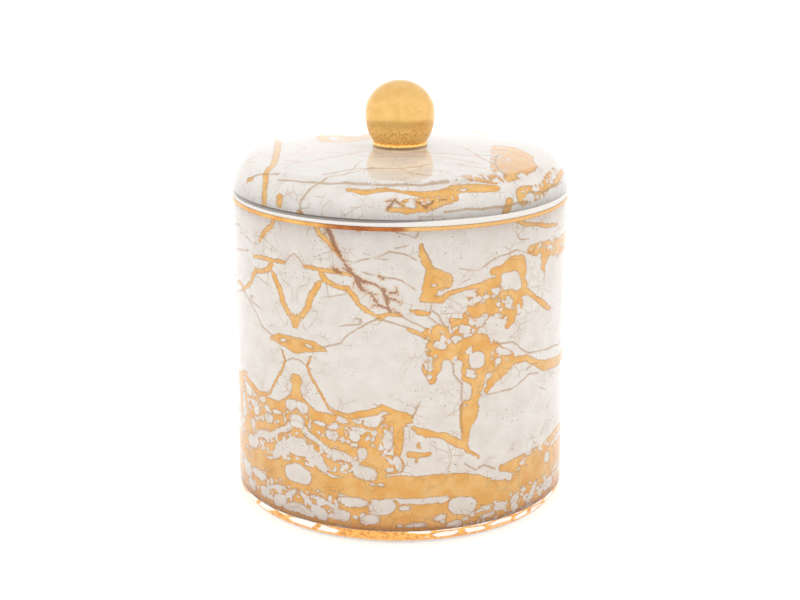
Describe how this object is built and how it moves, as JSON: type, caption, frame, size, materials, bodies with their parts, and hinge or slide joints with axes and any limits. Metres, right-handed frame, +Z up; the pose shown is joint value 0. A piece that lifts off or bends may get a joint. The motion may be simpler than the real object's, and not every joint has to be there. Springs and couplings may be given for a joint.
{
  "type": "powder jar",
  "caption": "Round lidded vanity jar: clear glass over a cream marble and gold decor, gilded rim, domed lift-off lid with a gold ball knob.",
  "frame": {"origin": "centre of the face under the base pad, the face that the jar rests on", "axes": "+Z up through the knob along the axis of the jar; the front of the decor faces -Y"},
  "size_m": [0.108, 0.108, 0.1363],
  "materials": {
    "clear_glass": "clear polished glass",
    "marble_film": "cream marble print with gold leaf veins, seen through the glass",
    "cream_lacquer": "smooth opaque lacquer",
    "gilding": "fired bright gold",
    "felt": "short felt",
    "clear_plastic": "clear moulded plastic",
    "gold_metal": "gold plate, polished",
    "clear_rubber": "soft clear silicone",
    "steel": "zinc-bright steel"
  },
  "bodies": {
    "jar": {"jar_glass": "clear_glass", "jar_marble_film": "marble_film", "jar_backing_coat": "cream_lacquer", "jar_rim_gilding": "gilding", "base_pad": "felt"},
    "lid": {"lid_glass": "clear_glass", "lid_marble_film": "marble_film", "lid_backing_coat": "cream_lacquer", "lid_seating_ring": "clear_plastic", "knob_ball": "gold_metal", "knob_collar": "gold_metal", "knob_cushion": "clear_rubber", "rubber_washer": "clear_rubber", "steel_washer": "steel", "knob_screw": "steel"}
  },
  "joints": [
    {"name": "lid_lift", "type": "slide", "parent": "jar", "child": "lid", "axis": [0, 0, 1], "range_m": [0, 0.06]}
  ]
}
